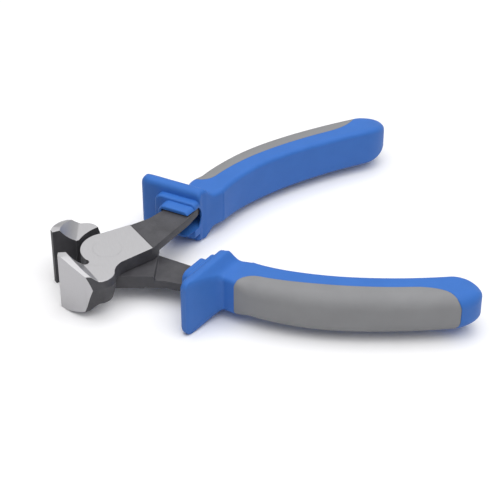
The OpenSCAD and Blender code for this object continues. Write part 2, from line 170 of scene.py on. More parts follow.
class Graph:
    """Short calls for adding and linking nodes in one node tree."""

    def __init__(self, tree: bpy.types.NodeTree) -> None:
        """Starts on an emptied tree."""
        self.tree = tree
        tree.nodes.clear()

    def add(self, kind: str, **settings: object) -> bpy.types.Node:
        """Adds a node.

        Args:
            kind: Blender's node type without its ShaderNode prefix, or a full type name for groups.
            **settings: Properties of the node, such as operation or data_type.

        Returns:
            The new node.
        """
        prefix = "" if kind.startswith(("Node", "ShaderNode", "GeometryNode")) else "ShaderNode"
        node = self.tree.nodes.new(prefix + kind)
        for key, value in settings.items():
            setattr(node, key, value)
        return node

    def feed(self, node: bpy.types.Node, **inputs: object) -> bpy.types.Node:
        """Sets or links a node's inputs by name or by number.

        Args:
            node: Node to feed.
            **inputs: Sockets or plain values, under the input's name with underscores for spaces, or
                under i0, i1 and so on for its number.

        Returns:
            The same node.
        """
        for key, value in inputs.items():
            numbered = key[0] == "i" and key[1:].isdigit()
            socket = node.inputs[int(key[1:])] if numbered else node.inputs[key.replace("_", " ")]
            if isinstance(value, bpy.types.NodeSocket):
                self.tree.links.new(value, socket)
            else:
                socket.default_value = value
        return node

    def feed_in_order(self, node: bpy.types.Node, values: tuple[object, ...]) -> bpy.types.Node:
        """Feeds a node's first inputs in their order."""
        return self.feed(node, **{f"i{i}": value for i, value in enumerate(values)})

    def math(self, operation: str, *values: object) -> bpy.types.NodeSocket:
        """Adds a Math node on sockets or numbers, and gives its output."""
        return self.feed_in_order(self.add("Math", operation=operation), values).outputs[0]

    def vector_math(self, operation: str, *values: object) -> bpy.types.Node:
        """Adds a Vector Math node on sockets or vectors."""
        return self.feed_in_order(self.add("VectorMath", operation=operation), values)

    def split(self, vector: bpy.types.NodeSocket) -> bpy.types.Node:
        """Adds a node with a vector's X, Y and Z as outputs."""
        return self.feed(self.add("SeparateXYZ"), Vector=vector)

    def span(
        self,
        value: bpy.types.NodeSocket,
        low: float,
        high: float,
        out_low: float = 0.0,
        out_high: float = 1.0,
        smooth: bool = False,
    ) -> bpy.types.NodeSocket:
        """Maps a value from low and high to out_low and out_high, limited to them and eased if smooth."""
        node = self.add("MapRange", interpolation_type="SMOOTHSTEP" if smooth else "LINEAR")
        return self.feed_in_order(node, (value, low, high, out_low, out_high)).outputs[0]

    def mix(self, factor: object, a: object, b: object) -> bpy.types.NodeSocket:
        """Mixes colours from a to b, plain or from sockets, as the factor goes from 0 to 1."""
        node = self.add("Mix", data_type="RGBA")
        return self.feed(node, i0=factor, i6=self.rgba(a), i7=self.rgba(b)).outputs[2]

    def mix_value(self, factor: object, a: object, b: object) -> bpy.types.NodeSocket:
        """Mixes numbers from a to b, plain or from sockets, as the factor goes from 0 to 1."""
        node = self.add("Mix", data_type="FLOAT")
        return self.feed(node, i0=factor, i2=a, i3=b).outputs[0]

    @staticmethod
    def rgba(colour: object) -> object:
        """Adds alpha to a plain colour and passes sockets through."""
        return (*colour, 1.0) if isinstance(colour, tuple) and len(colour) == 3 else colour

    def group(self, tree: bpy.types.NodeTree, **inputs: object) -> bpy.types.Node:
        """Places a shader node group and feeds its named inputs."""
        return self.feed(self.add("ShaderNodeGroup", node_tree=tree), **inputs)


GroupParts = tuple[Graph, bpy.types.Node, bpy.types.Node]


def new_group(name: str, inputs: dict[str, float], outputs: dict[str, str]) -> GroupParts:
    """Makes an empty shader node group with named sockets.

    Args:
        name: Name of the group.
        inputs: Names and default values of its number inputs.
        outputs: Names and socket types of its outputs.

    Returns:
        The group's graph, its input node and its output node.
    """
    tree = bpy.data.node_groups.new(name, "ShaderNodeTree")
    for label, value in inputs.items():
        socket = tree.interface.new_socket(label, in_out="INPUT", socket_type="NodeSocketFloat")
        socket.default_value = value
    for label, kind in outputs.items():
        tree.interface.new_socket(label, in_out="OUTPUT", socket_type=kind)
    graph = Graph(tree)
    return graph, graph.add("NodeGroupInput"), graph.add("NodeGroupOutput")


def new_material(name: str) -> tuple[bpy.types.Material, Graph]:
    """Makes an empty material.

    Args:
        name: Name of the material.

    Returns:
        The material and the graph of its nodes.
    """
    made = bpy.data.materials.new(name)
    made.use_nodes = True
    return made, Graph(made.node_tree)


class Effects:
    """Shader node groups that several finishes share."""

    noise_detail = 3.0
    noise_roughness = 0.55

    def __init__(self) -> None:
        """Builds each group once."""
        self.grain = self._grain()
        self.lever_place = self._lever_place()

    def _grain(self) -> bpy.types.NodeTree:
        """Builds the group for fine grain and broad mottle in object space, both from 0 to 1.

        Returns:
            The group. Its sizes are in mm, and a Stretch under 1 draws the grain out along Y.
        """
        graph, given, out = new_group(
            "moulded_grain",
            {"Grain Size": 0.4, "Mottle Size": 8.0, "Stretch": 1.0},
            {"Grain": "NodeSocketFloat", "Mottle": "NodeSocketFloat"},
        )
        stretch = graph.feed(graph.add("CombineXYZ"), X=1.0, Y=given.outputs["Stretch"], Z=1.0)
        place = graph.add("TexCoord").outputs["Object"]
        drawn = graph.vector_math("MULTIPLY", place, stretch.outputs[0]).outputs[0]
        for label in ("Grain", "Mottle"):
            scale = graph.math("DIVIDE", 1.0 / MM, given.outputs[f"{label} Size"])
            noise = graph.feed(graph.add("TexNoise"), Vector=drawn, Scale=scale)
            graph.feed(noise, Detail=self.noise_detail, Roughness=self.noise_roughness)
            graph.feed(out, **{label: noise.outputs[0]})
        return graph.tree

    @staticmethod
    def _lever_place() -> bpy.types.NodeTree:
        """Builds the group for the place and normal on a lever as drawn closed, in mm, from object space.

        Returns:
            The group. Its Swing is the half's angle from closed in radians, and its Turned is 0 for the
            upper half and 1 for the lower.
        """
        graph, given, out = new_group(
            "lever_place",
            {"Swing": 0.0, "Turned": 0.0},
            {"Place": "NodeSocketVector", "Normal": "NodeSocketVector"},
        )
        source = graph.add("TexCoord")
        back = graph.math("MULTIPLY", given.outputs["Swing"], -1.0)
        side = graph.math("SUBTRACT", 1.0, graph.math("MULTIPLY", given.outputs["Turned"], 2.0))
        flip = graph.feed(graph.add("CombineXYZ"), X=1.0, Y=side, Z=side).outputs[0]
        for label, socket, lift, scale in (
            ("Place", source.outputs["Object"], Tool.half_joint * MM, 1.0 / MM),
            ("Normal", source.outputs["Normal"], 0.0, 1.0),
        ):
            lowered = graph.vector_math("SUBTRACT", socket, (0.0, 0.0, lift)).outputs[0]
            swung = graph.feed(graph.add("VectorRotate", rotation_type="Z_AXIS"), Vector=lowered, Angle=back)
            flipped = graph.vector_math("MULTIPLY", swung.outputs[0], flip).outputs[0]
            sized = graph.feed(graph.vector_math("SCALE", flipped), Scale=scale)
            graph.feed(out, **{label: sized.outputs[0]})
        return graph.tree


@dataclass(frozen=True)
class MouldedFinish:
    """Moulded plastic or rubber with a fine grain, whose sizes are in mm."""

    name: str
    colour: Colour
    shade: Colour
    roughness: float
    specular: float
    grain_size: float
    grain_depth: float
    mottle_size: float = 9.0
    rough_swing: float = 0.05
    bump_strength: float = 0.6

    def material(self, effects: Effects) -> bpy.types.Material:
        """Builds the material.

        Args:
            effects: The shared node groups.

        Returns:
            The finished material.
        """
        made, graph = new_material(self.name)
        grain = graph.group(effects.grain, Grain_Size=self.grain_size, Mottle_Size=self.mottle_size)
        colour = graph.mix(graph.span(grain.outputs["Mottle"], *NOISE_SPAN), self.shade, self.colour)
        smoothest, roughest = self.roughness - self.rough_swing, self.roughness + self.rough_swing
        rough = graph.span(grain.outputs["Grain"], *NOISE_SPAN, smoothest, roughest)
        bump = graph.feed(graph.add("Bump"), Height=grain.outputs["Grain"])
        graph.feed(bump, Distance=self.grain_depth * MM, Strength=self.bump_strength)
        shader = graph.add("BsdfPrincipled")
        graph.feed(shader, Base_Color=colour, Roughness=rough, Normal=bump.outputs[0])
        graph.feed(shader, Specular_IOR_Level=self.specular)
        graph.feed(graph.add("OutputMaterial"), Surface=shader.outputs[0])
        return made


@dataclass(frozen=True)
class LeverFinish:
    """Black forging with satin ground faces at the joint and the jaws, whose sizes are in mm."""

    forged: Colour = (0.043, 0.042, 0.047)
    forged_pale: Colour = (0.066, 0.065, 0.072)
    forged_roughness: Span = (0.42, 0.58)
    forged_grain: float = 0.5
    forged_mottle: float = 5.0
    ground: Colour = (0.53, 0.525, 0.54)
    ground_pale: Colour = (0.58, 0.575, 0.59)
    ground_roughness: Span = (0.31, 0.41)
    # Grinding lines: their width, stretch, part of the noise's range and share of the bump's depth
    line_width: float = 0.25
    line_stretch: float = 0.08
    line_span: Span = (0.25, 0.75)
    line_share: float = 0.25
    bump_depth: float = 0.05
    bump_strength: float = 0.5
    # Depth below the joint's face down to which its broken edge is ground
    broken_edge: float = 0.3
    # Half the width of the line between ground steel and black forging
    blur: float = 0.02
    # Shares of the direction up or down between which a face comes to count as flat
    flat_span: Span = (0.40, 0.46)
    # Front of the jaw: its direction in degrees, and shares of it between which a face comes to count
    front_angle: float = 201.4
    front_span: Span = (0.80, 0.85)
    # Distance ahead of the pivot beyond which the front lies
    front_x: float = 14.5

    def material(self, half: Half, effects: Effects) -> bpy.types.Material:
        """Builds the material of one lever.

        Args:
            half: The half that the lever belongs to.
            effects: The shared node groups.

        Returns:
            The finished material.
        """
        made, graph = new_material(f"{half.value}_lever_steel")
        turned = 1.0 if half is Half.LOWER else 0.0
        place = graph.group(effects.lever_place, Swing=math.radians(half.swing), Turned=turned)
        mask = self._ground_mask(graph, place)
        forging = graph.group(effects.grain, Grain_Size=self.forged_grain, Mottle_Size=self.forged_mottle)
        grain = forging.outputs["Grain"]
        grinding = graph.group(effects.grain, Grain_Size=self.line_width, Stretch=self.line_stretch)
        lines = grinding.outputs["Grain"]
        mottle = graph.span(forging.outputs["Mottle"], *NOISE_SPAN)
        black = graph.mix(mottle, self.forged, self.forged_pale)
        steel = graph.mix(graph.span(lines, *self.line_span), self.ground, self.ground_pale)
        black_rough = graph.span(grain, *NOISE_SPAN, *self.forged_roughness)
        steel_rough = graph.span(lines, *self.line_span, *self.ground_roughness)
        rough = graph.mix_value(mask, black_rough, steel_rough)
        height = graph.mix_value(mask, grain, graph.math("MULTIPLY", lines, self.line_share))
        bump = graph.feed(graph.add("Bump"), Height=height)
        graph.feed(bump, Distance=self.bump_depth * MM, Strength=self.bump_strength)
        shader = graph.feed(graph.add("BsdfPrincipled"), Base_Color=graph.mix(mask, black, steel))
        graph.feed(shader, Roughness=rough, Metallic=mask, Normal=bump.outputs[0])
        graph.feed(graph.add("OutputMaterial"), Surface=shader.outputs[0])
        return made

    def _ground_mask(self, graph: Graph, place: bpy.types.Node) -> bpy.types.NodeSocket:
        """Adds the mask of the ground faces.

        Args:
            graph: Graph of the lever's material.
            place: The placed lever_place group.

        Returns:
            Socket that is 1 on ground steel and 0 on the black forging.
        """
        at = graph.split(place.outputs["Place"])
        facing = graph.split(place.outputs["Normal"])
        height = graph.math("ABSOLUTE", at.outputs["Z"])
        level, end = Tool.half_joint - self.broken_edge, Tool.plate_end
        high = graph.span(height, level - self.blur, level + self.blur)
        ahead = graph.span(at.outputs["X"], end - self.blur, end + self.blur, 1.0, 0.0)
        flat = graph.span(graph.math("ABSOLUTE", facing.outputs["Z"]), *self.flat_span)
        joint_face = graph.math("MULTIPLY", graph.math("MULTIPLY", high, ahead), flat)
        direction = math.radians(self.front_angle)
        along = graph.math("MULTIPLY", facing.outputs["X"], math.cos(direction))
        beside = graph.math("MULTIPLY", facing.outputs["Y"], math.sin(direction))
        facing_front = graph.span(graph.math("ADD", along, beside), *self.front_span)
        fore = graph.math("LESS_THAN", at.outputs["X"], -self.front_x)
        return graph.math("MAXIMUM", joint_face, graph.math("MULTIPLY", facing_front, fore))


class Finishes:
    """Materials of the whole tool."""

    def __init__(self) -> None:
        """Builds each material once."""
        effects = Effects()
        blue = MouldedFinish(
            name="blue_moulding",
            colour=(0.040, 0.162, 0.53),
            shade=(0.036, 0.150, 0.50),
            roughness=0.45,
            specular=0.32,
            grain_size=0.35,
            grain_depth=0.03,
        )
        grey = MouldedFinish(
            name="grey_soft_inlay",
            colour=(0.26, 0.262, 0.27),
            shade=(0.24, 0.242, 0.25),
            roughness=0.62,
            specular=0.4,
            grain_size=0.30,
            grain_depth=0.04,
        )
        steel = LeverFinish()
        self.blue = blue.material(effects)
        self.grey = grey.material(effects)
        self.levers = {half: steel.material(half, effects) for half in Half}


@dataclass(frozen=True)
class HandleForm:
    """Sizes in mm of one handle, drawn with the tool closed and the handle on the +Y side."""

    nose: tuple[float, float] = (34.1, 4.2)
    nose_angle: float = 31.0
    nose_len: float = 4.5
    collar_len: float = 3.2
    guard_t: float = 3.7
    guard_run: float = 6.0
    neck_run: float = 8.0
    end: tuple[float, float] = (139.3, 15.5)
    end_angle: float = -13.2
    end_pull: float = 42.0
    neck_pull: float = 14.5
    nose_h: float = 7.4
    nose_low: float = 4.9
    nose_out: float = 9.7
    nose_in: float = 3.5
    collar_h: float = 8.4
    collar_low: float = 8.2
    collar_out: float = 13.7
    guard_h: float = 12.0
    guard_out: float = 22.0
    guard_in: float = 4.6
    guard_r: float = 3.0
    neck_h: float = 7.8
    neck_w: float = 6.0
    neck_in: float = 9.1
    neck_r: float = 1.9
    grip_w: float = 7.4
    grip_h: float = 8.8
    butt_h: float = 8.2
    butt_len: float = 8.0
    # Share of the width left at the handle end, and share of the height that isn't rounded off with it
    butt_flat: float = 0.14
    butt_keep: float = 0.45
    swell_len: float = 50.0
    thin_len: float = 53.0
    draw_len: float = 14.5
    round_len: float = 14.0
    # Powers of the guard's back: how round its rear edge is, and how steeply it then falls to the neck
    rim_power: float = 1.5
    fall_power: float = 3.4
    inner_r: float = 2.1
    outer_r: float = 5.4
    # Largest share of a section's height or reach that an edge radius takes
    round_share: float = 0.8
    # Inlay's front and rear ends, the length over which they are rounded, and their bulge at half height
    inlay_start: float = 22.9
    inlay_end: float = 7.8
    inlay_round: float = 10.6
    inlay_bow: float = 1.6

    @property
    def guard_u(self) -> float:
        """Distance from the front of the nose to the guard's face."""
        return self.nose_len + self.collar_len

    @property
    def rim_u(self) -> float:
        """Distance from the front of the nose to the back of the guard's rim."""
        return self.guard_u + self.guard_t

    @property
    def neck_u(self) -> float:
        """Distance from the front of the nose to the end of the straight neck."""
        return self.rim_u + self.neck_run

    @property
    def curve_len(self) -> float:
        """Length of the curved grip along the tool."""
        return self.end[0] - self.nose[0] - self.neck_u * math.cos(math.radians(self.nose_angle))

    @property
    def full_u(self) -> float:
        """Distance from the front of the nose to the handle end."""
        return self.neck_u + self.curve_len

    @property
    def inlay_stop(self) -> float:
        """Distance from the front of the nose to the rear end of the inlay."""
        return self.full_u - self.inlay_end

    def bow(self, u: float) -> float:
        """Finds how far a section is bowed.

        Args:
            u: Distance from the front of the nose.

        Returns:
            The length, forward at the inlay's front and back at its rear.
        """
        length = min(self.inlay_round, self.inlay_end)
        front = clamped(1 - abs(u - self.inlay_start) / length)
        rear = clamped(1 - abs(u - self.inlay_stop) / length)
        return self.inlay_bow * (rear**2 - front**2)

    def centre(self, u: float) -> np.ndarray:
        """Finds a point on the centreline, which is straight in the neck and curved in the grip.

        Args:
            u: Distance from the front of the nose.

        Returns:
            The point in plan.
        """
        nose = np.array(self.nose)
        angle, end_angle = math.radians(self.nose_angle), math.radians(self.end_angle)
        ahead = np.array((math.cos(angle), math.sin(angle)))
        if u < self.neck_u:
            return nose + u * ahead
        start, end = nose + self.neck_u * ahead, np.array(self.end)
        pull_a = start + self.neck_pull * ahead
        pull_b = end - self.end_pull * np.array((math.cos(end_angle), math.sin(end_angle)))
        t = (u - self.neck_u) / self.curve_len
        s = 1 - t
        return s**3 * start + 3 * s * s * t * pull_a + 3 * s * t * t * pull_b + t**3 * end

    def across(self, u: float) -> np.ndarray:
        """Finds the direction across the handle.

        Args:
            u: Distance from the front of the nose.

        Returns:
            Unit vector in plan that points to the outer side.
        """
        step = 0.05
        d = self.centre(u + step) - self.centre(u - step)
        return np.array((-d[1], d[0])) / np.linalg.norm(d)

    def butt(self, u: float) -> float:
        """Share of the width that is left in the rounded end at u."""
        k = clamped(1 - (self.full_u - u) / self.butt_len)
        return math.sqrt(1 - (1 - self.butt_flat**2) * k * k)

    def run(self, a: float, b: float, u: float) -> float:
        """Value at u that falls from a at the rim to b at the neck, over a round edge and a hollow sweep."""
        k = clamped((u - self.rim_u) / self.guard_run)
        return b + (a - b) * (1 - k**self.rim_power) ** self.fall_power

    def edge_r(self, u: float) -> float:
        """Finds the edge radius on the outer side.

        Args:
            u: Distance from the front of the nose.

        Returns:
            The radius.
        """
        if u < self.neck_u:
            return ease(self.guard_r, self.neck_r, (u - self.rim_u) / self.guard_run)
        return ease(self.neck_r, self.outer_r, (u - self.neck_u) / self.round_len)

    def section(self, u: float) -> "Section":
        """Finds the section of the handle behind the guard's rim.

        Args:
            u: Distance from the front of the nose.

        Returns:
            The section.
        """
        grip = ease(self.neck_h, self.grip_h, (u - self.rim_u) / self.swell_len)
        grip -= ease(0.0, self.grip_h - self.butt_h, 1 - (self.full_u - u) / self.thin_len)
        along = (u - self.neck_u) / self.swell_len
        left = self.butt(u)
        height = self.run(self.guard_h, grip, u) * (self.butt_keep + (1 - self.butt_keep) * left)
        drawn = ease(self.neck_in, self.grip_w, along)
        inner = ease(self.guard_in, drawn, (u - self.guard_u) / self.draw_len)
        outer = self.run(self.guard_out, ease(self.neck_w, self.grip_w, along), u)
        return Section(self, u, height, inner * left, outer * left, height)

    def nose_section(self, u: float, high: float, low: float, out: float, cut: float) -> "Section":
        """Section at u of the nose, collar or rim, whose height, depth and outer reach are less by cut."""
        inner = ease(self.nose_in, self.guard_in, u / self.guard_u)
        return Section(self, u, high - cut, inner, out - cut, low - cut)


@dataclass(frozen=True)
class Section:
    """One section of a handle: its place, height, inner reach, outer reach and depth in mm."""

    form: HandleForm
    u: float
    high: float
    inner: float
    outer: float
    low: float

    def sunk(self, depth: float) -> "Section":
        """The section with its outer side and its faces sunk by depth."""
        high, outer, low = self.high - depth, self.outer - depth, self.low - depth
        return Section(self.form, self.u, high, self.inner, outer, low)

    def face(self, y: float, height: float, outer_r: float) -> float:
        """Finds the height of a face with rounded edges.

        Args:
            y: Distance from the centreline.
            height: Distance of the face from the parting plane.
            outer_r: Edge radius on the outer side.

        Returns:
            Distance from the parting plane at y.
        """
        share = self.form.round_share
        a = min(self.form.inner_r, share * min(height, self.inner))
        b = min(outer_r, share * min(height, self.outer))
        past = max(0.0, a - self.inner - y, y - self.outer + b)
        r = a if y < 0 else b
        return height - r + math.sqrt(max(0.0, r * r - past * past))

    def top(self, y: float, outer_r: float) -> float:
        """Height of the top face at y from the centreline."""
        return self.face(y, self.high, outer_r)

    def bottom(self, y: float, outer_r: float) -> float:
        """Height of the bottom face at y from the centreline."""
        return -self.face(y, self.low, outer_r)

    def point(self, y: float, z: float) -> Point:
        """Finds a point of the section.

        Args:
            y: Distance from the centreline.
            z: Height above the parting plane.

        Returns:
            The point in metres, in the closed drawing.
        """
        level = z / (self.high if z > 0 else self.low)
        u = self.u + self.form.bow(self.u) * (1 - level**2)
        p = self.form.centre(u) + y * self.form.across(u)
        return (p[0] * MM, p[1] * MM, z * MM)

    def inner_side(self, edge: float, steps: int) -> Ring:
        """Draws the inner side, from the edge above to the edge below.

        Args:
            edge: Distance across the handle at which the side ends.
            steps: Number of steps on each face.

        Returns:
            The points.
        """
        mid, half = (edge - self.inner) / 2, (edge + self.inner) / 2
        ys = [mid + half * math.cos(math.pi * j / steps) for j in range(steps + 1)]
        r = self.form.edge_r(self.u)
        above = [self.point(y, self.top(y, r)) for y in ys]
        return above + [self.point(y, self.bottom(y, r)) for y in reversed(ys)]

    def outer_side(self, edge: float, depth: float, first: int, steps: int) -> Ring:
        """Draws the outer side, from the edge below to the edge above.

        Args:
            edge: Distance across the handle from which the side starts.
            depth: Depth by which the side is sunk.
            first: 1 leaves out the point on the edge itself, and 0 keeps it.
            steps: Number of steps from the edge to the middle of the side.

        Returns:
            The points.
        """
        sunk, r, last = self.sunk(depth), self.form.edge_r(self.u) - depth, steps + first
        ys = [edge + (sunk.outer - edge) * math.sin(math.pi / 2 * j / last) for j in range(first, last + 1)]
        below = [sunk.point(y, sunk.bottom(y, r)) for y in ys]
        return below + [sunk.point(y, sunk.top(y, r)) for y in reversed(ys)]


@dataclass(frozen=True)
class InlayForm:
    """Sizes in mm of the soft inlay on a handle, and the steps of its rounded ends and its middle."""

    thickness: float = 1.1
    gap: float = 0.05
    inner: float = 0.8
    tip: float = 0.7
    end_steps: int = 10
    middle_steps: int = 44

    def edge(self, form: HandleForm, u: float) -> float:
        """Finds the edge of the inlay.

        Args:
            form: The handle's sizes.
            u: Distance from the front of the nose.

        Returns:
            The distance of the edge from the centreline.
        """
        k = clamped(min(u - form.inlay_start, form.inlay_stop - u) / form.inlay_round)
        reach = form.section(u).outer - self.tip
        return reach - (reach + self.inner) * math.sqrt(1 - (1 - k) ** 2)

    def places(self, form: HandleForm) -> list[float]:
        """Spaces the sections along the inlay, closer together at its rounded ends.

        Args:
            form: The handle's sizes.

        Returns:
            The places in order.
        """
        start, stop, bend = form.inlay_start, form.inlay_stop, form.inlay_round
        turns = quarter_turn(self.end_steps)[:-1]
        first = [start + bend * (1 - math.cos(a)) for a in turns]
        last = [stop - bend * (1 - math.cos(a)) for a in reversed(turns)]
        span = stop - start - 2 * bend
        middle = [start + bend + span * i / self.middle_steps for i in range(self.middle_steps + 1)]
        return first + middle + last


@dataclass
class Handle:
    """Hard sleeve and soft inlay of one half, with its sizes in mm and the steps of its curves."""

    half: Half
    form: HandleForm = HandleForm()
    inlay: InlayForm = InlayForm()
    inner_steps: int = 20
    outer_steps: int = 14
    edge_steps: int = 6
    butt_steps: int = 16
    mouth_steps: int = 16
    neck_rings: int = 30
    # Rounded edges of the nose, the collar and the rim
    nose_r: float = 0.6
    collar_r: float = 0.7
    rim_r: float = 2.4
    # Mouth: height, depth, outer reach and inner reach
    mouth_h: float = 6.0
    mouth_low: float = 3.5
    mouth_out: float = 8.3
    mouth_in: float = 4.1
    # Lengths of the mouth and of its pocket behind the guard's face, and depth of the mouth's round end
    mouth_open: float = 1.5
    mouth_len: float = 5.0
    mouth_bulge: float = 2.2

    def build(self, finishes: Finishes) -> None:
        """Builds and dresses the sleeve and the inlay.

        Args:
            finishes: The materials of the tool.
        """
        sleeve = self._sleeve()
        sleeve.data.materials.append(finishes.blue)
        self._place(sleeve, f"{self.half.value}_sleeve")
        inlay = self._inlay()
        inlay.data.materials.append(finishes.grey)
        self._place(inlay, f"{self.half.value}_inlay")

    def _place(self, piece: bpy.types.Object, node: str) -> None:
        """Lets a piece ride on its half and stand for its CAD node.

        Args:
            piece: Mesh object.
            node: Name of the CAD node.
        """
        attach(piece, self.half.body)
        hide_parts(node)
        LOG.info("%s: %d faces", piece.name, len(piece.data.polygons))

    def _to_tool(self, points: list[Point]) -> list[Point]:
        """Takes points from the closed drawing to the half's place in the tool."""
        matrix = self.half.to_tool
        return [tuple(matrix @ Vector(p)) for p in points]

    def _plain_ring(self, section: Section) -> Ring:
        """Closed ring round a section without the inlay's bed."""
        edge, steps = section.outer - self.inlay.tip, self.outer_steps
        return section.inner_side(edge, self.inner_steps) + section.outer_side(edge, 0.0, 1, steps)

    def _bed_ring(self, u: float) -> Ring:
        """Draws the ring round a section with the inlay's bed.

        Args:
            u: Distance from the front of the nose.

        Returns:
            The points of the closed ring.
        """
        section, edge = self.form.section(u), self.inlay.edge(self.form, u)
        bed = section.outer_side(edge, self.inlay.thickness, 0, self.outer_steps)
        return section.inner_side(edge, self.inner_steps) + bed

    def _rounded_step(self, u: float, high: float, low: float, out: float, r: float) -> list[Section]:
        """Sections of an edge that faces the jaws, starts at u and is rounded with radius r."""
        shares = [(1 - math.cos(a), 1 - math.sin(a)) for a in quarter_turn(self.edge_steps)]
        return [self.form.nose_section(u + r * run, high, low, out, r * cut) for run, cut in shares]

    def _rings(self) -> list[Ring]:
        """Draws the rings of the whole sleeve.

        Returns:
            The rings from the nose to the handle end.
        """
        form = self.form
        nose = (form.nose_h, form.nose_low, form.nose_out)
        collar = (form.collar_h, form.collar_low, form.collar_out)
        guard = (form.guard_h, form.guard_h, form.guard_out)
        front = self._rounded_step(0.0, *nose, self.nose_r)
        front.append(form.nose_section(form.nose_len, *nose, 0.0))
        front += self._rounded_step(form.nose_len + TINY, *collar, self.collar_r)
        front.append(form.nose_section(form.guard_u, *collar, 0.0))
        front += self._rounded_step(form.guard_u + TINY, *guard, self.rim_r)
        neck = np.linspace(form.rim_u, form.inlay_start - TINY, self.neck_rings)
        turns = quarter_turn(self.butt_steps)
        ends = [form.full_u - form.butt_len * (1 - math.sin(a)) for a in turns]
        clear = form.inlay_stop + 2 * TINY
        rear = [form.inlay_stop + TINY] + [u for u in ends if u > clear]
        rings = [self._plain_ring(s) for s in front + [form.section(u) for u in neck]]
        rings += [self._bed_ring(u) for u in self.inlay.places(form)]
        rings += [self._plain_ring(form.section(u)) for u in rear]
        return rings

    def _sleeve(self) -> bpy.types.Object:
        """Lofts the sleeve and cuts its mouth.

        Returns:
            The sleeve in its place in the tool.
        """
        rings = self._rings()
        n = len(rings[0])
        points = [p for ring in rings for p in ring]
        faces = [
            [i * n + j, (i + 1) * n + j, (i + 1) * n + (j + 1) % n, i * n + (j + 1) % n]
            for i in range(len(rings) - 1)
            for j in range(n)
        ]
        last = (len(rings) - 1) * n
        faces += [list(range(n)), [last + j for j in reversed(range(n))]]
        sleeve = new_mesh_object(f"{self.half.value}_sleeve_moulding", self._to_tool(points), faces)
        for profile, reach in self._mouth_cuts():
            self._cut(sleeve, profile, reach)
        shade_moulding(sleeve)
        return sleeve

    def _mouth_cuts(self) -> list[tuple[Outline, Span]]:
        """Lays out the cuts of the mouth: the open front with a round end, and the pocket behind it.

        Returns:
            For each cut its outline along the nose and up, and its span across the nose.
        """
        far, ahead, slack, form = 40.0, 1.0, 0.01, self.form
        mid, half = (self.mouth_h - self.mouth_low) / 2, (self.mouth_h + self.mouth_low) / 2
        r = (half**2 + self.mouth_bulge**2) / (2 * self.mouth_bulge)
        turn = math.asin(half / r)
        bend = form.guard_u + self.mouth_open - r
        turns = [turn * (2 * i / self.mouth_steps - 1) for i in range(self.mouth_steps + 1)]
        arc = [(bend + r * math.cos(a), mid + r * math.sin(a)) for a in turns]
        opened = arc + [(-far, self.mouth_h), (-far, -self.mouth_low)]
        low, high, deep = slack - self.mouth_low, self.mouth_h - slack, form.guard_u + self.mouth_len
        pocket = [(-ahead, low), (deep, low), (deep, high), (-ahead, high)]
        return [(opened, (-far, self.mouth_out)), (pocket, (-self.mouth_in, self.mouth_out - slack))]

    def _cut(self, piece: bpy.types.Object, profile: Outline, reach: Span) -> None:
        """Cuts a prism out of a piece.

        Args:
            piece: Mesh object that is cut.
            profile: Outline of the prism, along the nose and up.
            reach: Span of the prism across the nose.
        """
        nose = Matrix.Translation((self.form.nose[0] * MM, self.form.nose[1] * MM, 0))
        turn = nose @ Matrix.Rotation(math.radians(self.form.nose_angle), 4, "Z")
        n = len(profile)
        corners = [tuple(turn @ Vector((u * MM, y * MM, z * MM))) for y in reach for u, z in profile]
        faces = [list(range(n)), [n + i for i in reversed(range(n))]]
        faces += [[i, n + i, n + (i + 1) % n, (i + 1) % n] for i in range(n)]
        cutter = new_mesh_object("mouth_cutter", self._to_tool(corners), faces)
        cut = piece.modifiers.new("mouth", "BOOLEAN")
        cut.operation = "DIFFERENCE"
        cut.solver = "EXACT"
        cut.object = cutter
        apply_modifiers(piece)
        bpy.data.objects.remove(cutter)

    def _inlay(self) -> bpy.types.Object:
        """Builds the inlay as a thick skin that lies in its bed.

        Returns:
            The inlay in its place in the tool.
        """
        form, inlay = self.form, self.inlay
        span = form.inlay_stop - form.inlay_start
        rows_out, rows_in = [], []
        for u in inlay.places(form):
            drawn = form.section(u + inlay.gap * (1 - 2 * (u - form.inlay_start) / span))
            edge = inlay.edge(form, u) + inlay.gap
            rows_out.append(drawn.outer_side(edge, 0.0, 0, self.outer_steps))
            rows_in.append(drawn.outer_side(edge, inlay.thickness - inlay.gap, 0, self.outer_steps))
        n, rows = len(rows_out[0]), len(rows_out)
        total = n * rows
        points = [p for row in rows_out + rows_in for p in row]
        faces = []
        for i in range(rows - 1):
            for j in range(n - 1):
                a, b = i * n + j, (i + 1) * n + j
                faces += [[a, a + 1, b + 1, b], [total + a, total + b, total + b + 1, total + a + 1]]
            for j in (0, n - 1):
                a, b = i * n + j, (i + 1) * n + j
                faces.append([a, b, total + b, total + a])
        for i in (0, rows - 1):
            for j in range(n - 1):
                a = i * n + j
                faces.append([a, a + 1, total + a + 1, total + a])
        made = new_mesh_object(f"{self.half.value}_inlay_skin", self._to_tool(points), faces)
        shade_moulding(made)
        return made


